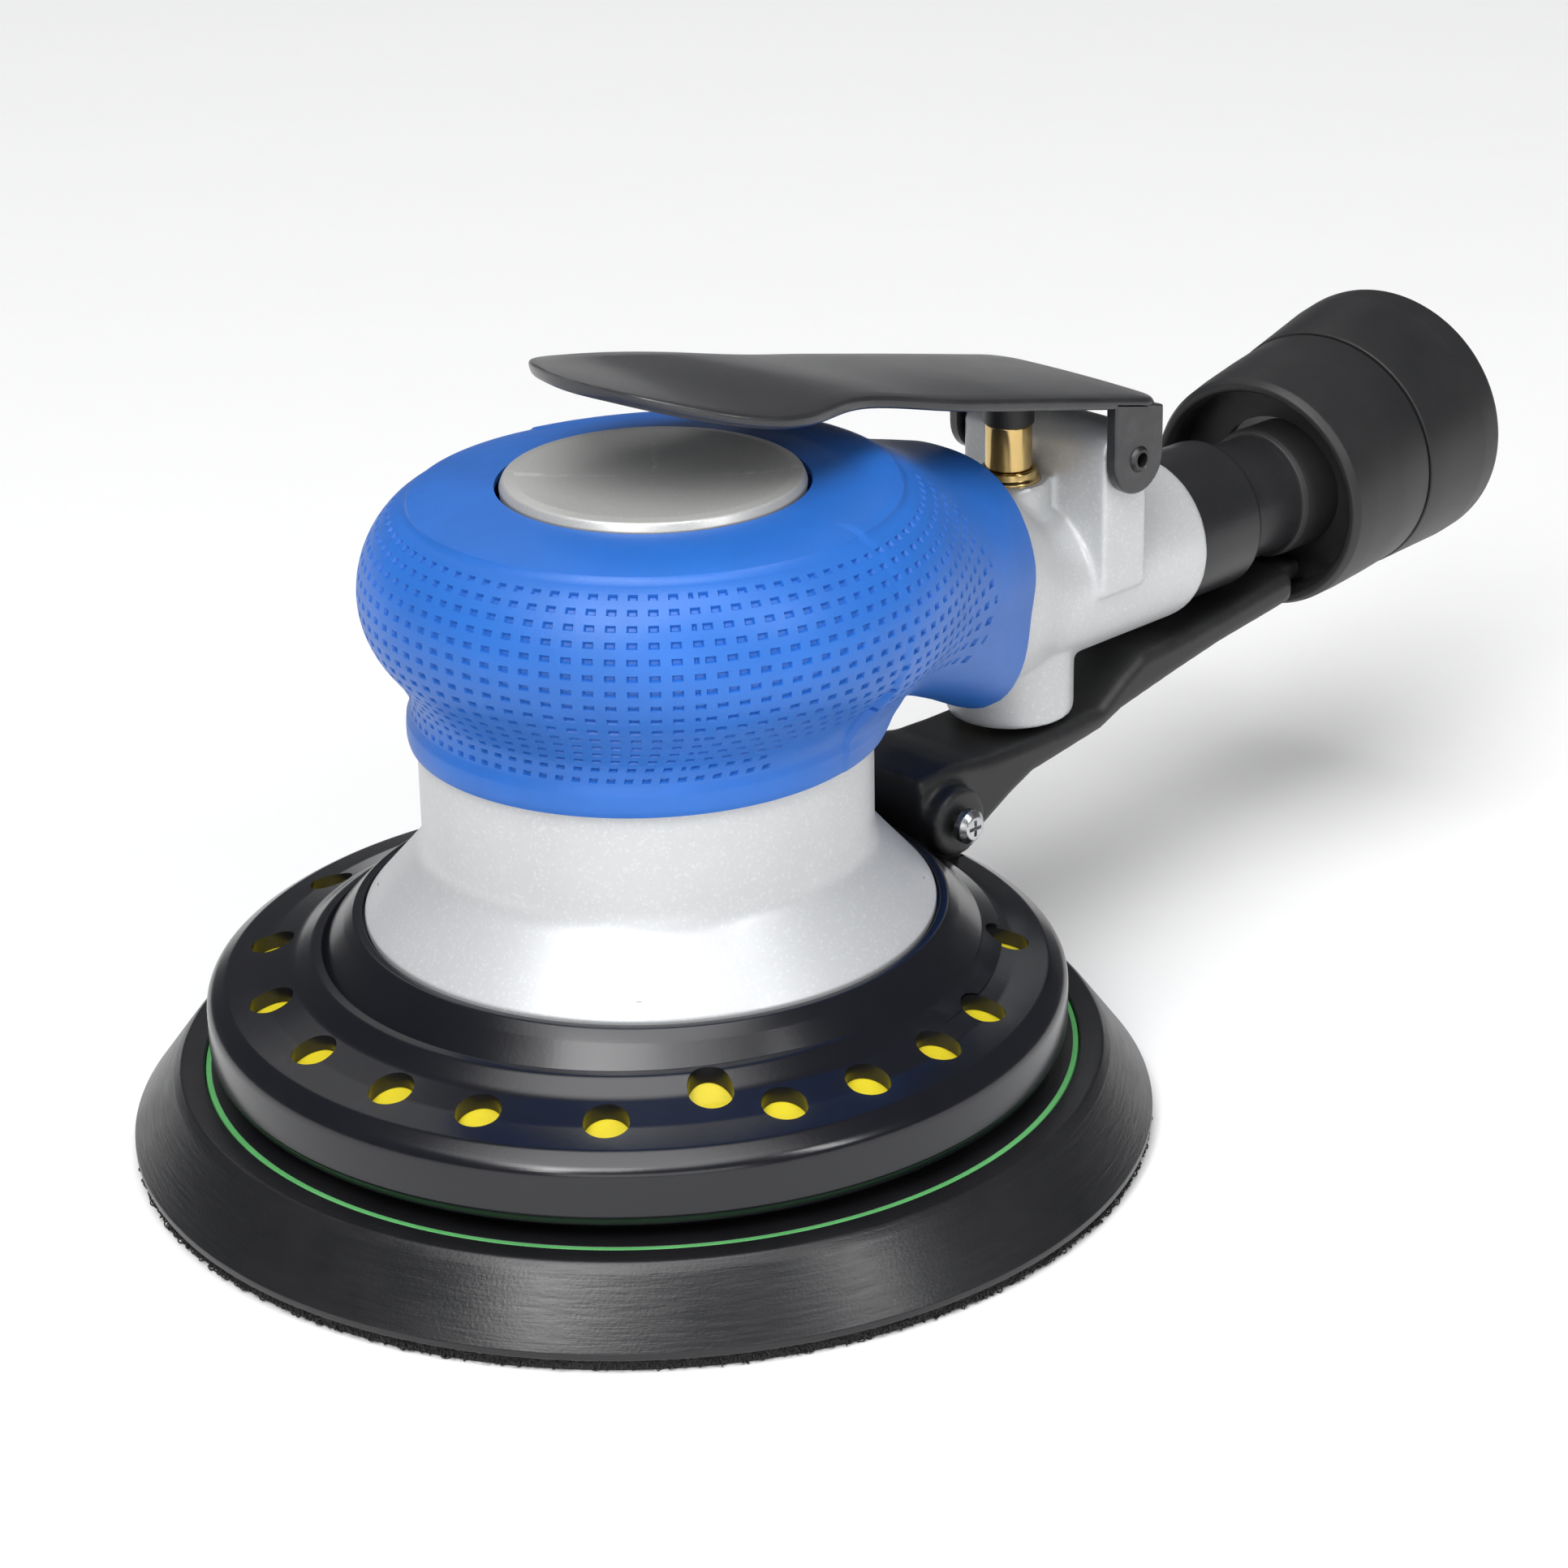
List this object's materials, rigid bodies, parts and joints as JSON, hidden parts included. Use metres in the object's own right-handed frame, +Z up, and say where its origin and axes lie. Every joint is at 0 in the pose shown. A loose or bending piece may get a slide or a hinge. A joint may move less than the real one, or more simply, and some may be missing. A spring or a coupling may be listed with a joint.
{
  "type": "orbital sander",
  "caption": "Air-driven palm random orbital sander: round backing pad, ventilated dust shroud, rubber palm grip, throttle lever and a vacuum hose cuff round the air inlet.",
  "frame": {"origin": "on the motor axis, in the plane of the hook face's underside", "axes": "+X along the handle from the motor axis to the air inlet, +Z up along the motor axis, away from the work"},
  "size_m": [0.2592, 0.15, 0.1155],
  "materials": {
    "housing_paint": "silver-grey paint with a fine metallic grain",
    "grip_rubber": "soft-touch moulded rubber with a dimpled band",
    "cap_metal": "warm grey satin metal",
    "lever_coat": "black powder coat",
    "pin_steel": "blackened roll pin",
    "brass": "turned and polished",
    "black_plastic": "moulded",
    "seal_rubber": "soft",
    "steel": "ground",
    "inlet_black": "black anodised",
    "vane_composite": "fibre composite",
    "aluminium": "machined",
    "plate_green": "glass-fibre laminate",
    "pad_rubber": "dense polyurethane with a fine turned grain",
    "hook_fabric": "black hook loops",
    "shroud_plastic": "satin gloss black",
    "vent_yellow": "yellow moulded ring",
    "cuff_plastic": "matte black moulded"
  },
  "bodies": {
    "housing": {"motor_housing": "housing_paint", "palm_grip": "grip_rubber", "top_cap": "cap_metal", "lever_pin": "pin_steel", "valve_bushing": "brass", "stem_seal": "seal_rubber", "valve_seat": "brass", "valve_plug": "brass", "inlet_bushing": "inlet_black", "inlet_sleeve": "inlet_black", "inlet_screen": "steel", "inlet_collar": "seal_rubber", "cylinder_liner": "steel", "upper_end_plate": "aluminium", "lower_end_plate": "aluminium", "upper_bearing": "steel", "lower_bearing": "steel", "lock_ring": "steel", "shroud": "shroud_plastic", "vent_ring": "vent_yellow", "shroud_clamp_ring": "aluminium", "shroud_screws": "steel", "exhaust_duct": "cuff_plastic", "hose_socket": "cuff_plastic", "duct_screw": "steel", "duct_nut": "steel"},
    "lever": {"throttle_lever": "lever_coat"},
    "stem": {"valve_stem": "brass", "stem_cap": "black_plastic", "valve_spring": "steel"},
    "dial": {"speed_dial": "black_plastic", "dial_seal": "seal_rubber"},
    "cuff": {"hose_cuff": "cuff_plastic"},
    "motor": {"balancer_shaft": "steel", "rotor": "steel", "rotor_vanes": "vane_composite", "rotor_key": "steel", "spindle_bearing": "steel", "bearing_retainer": "steel"},
    "pad": {"drive_spindle": "steel", "pad_hub": "aluminium", "pad_plate": "plate_green", "pad_foam": "pad_rubber", "pad_screws": "steel", "hook_face": "hook_fabric"}
  },
  "joints": [
    {"name": "lever_pivot", "type": "hinge", "parent": "housing", "child": "lever", "pos_m": [0.087, 0, 0.0835], "axis": [0, -1, 0], "range_deg": [0, 6]},
    {"name": "stem_slide", "type": "slide", "parent": "housing", "child": "stem", "axis": [0, 0, -1], "range_m": [0, 0.0016], "stiffness_N_per_m": 500, "springref_m": -0.004, "deforming": ["valve_spring"]},
    {"name": "dial_turn", "type": "hinge", "parent": "housing", "child": "dial", "pos_m": [0.091, 0.012, 0.0614], "axis": [0, 1, 0], "range_deg": [0, 270]},
    {"name": "cuff_swivel", "type": "hinge", "parent": "housing", "child": "cuff", "pos_m": [0.16368, 0.00389, 0.06311], "axis": [0.9884, 0.1389, 0.061], "continuous": true},
    {"name": "motor_spin", "type": "hinge", "parent": "housing", "child": "motor", "pos_m": [0, 0, 0.047], "axis": [0, 0, 1], "continuous": true},
    {"name": "pad_spin", "type": "hinge", "parent": "motor", "child": "pad", "pos_m": [-0.0025, 0, 0.027], "axis": [0, 0, 1], "continuous": true}
  ],
  "couplings": [
    {"joint": "stem_slide", "follows": "lever_pivot", "m_per_rad": 0.0122}
  ]
}
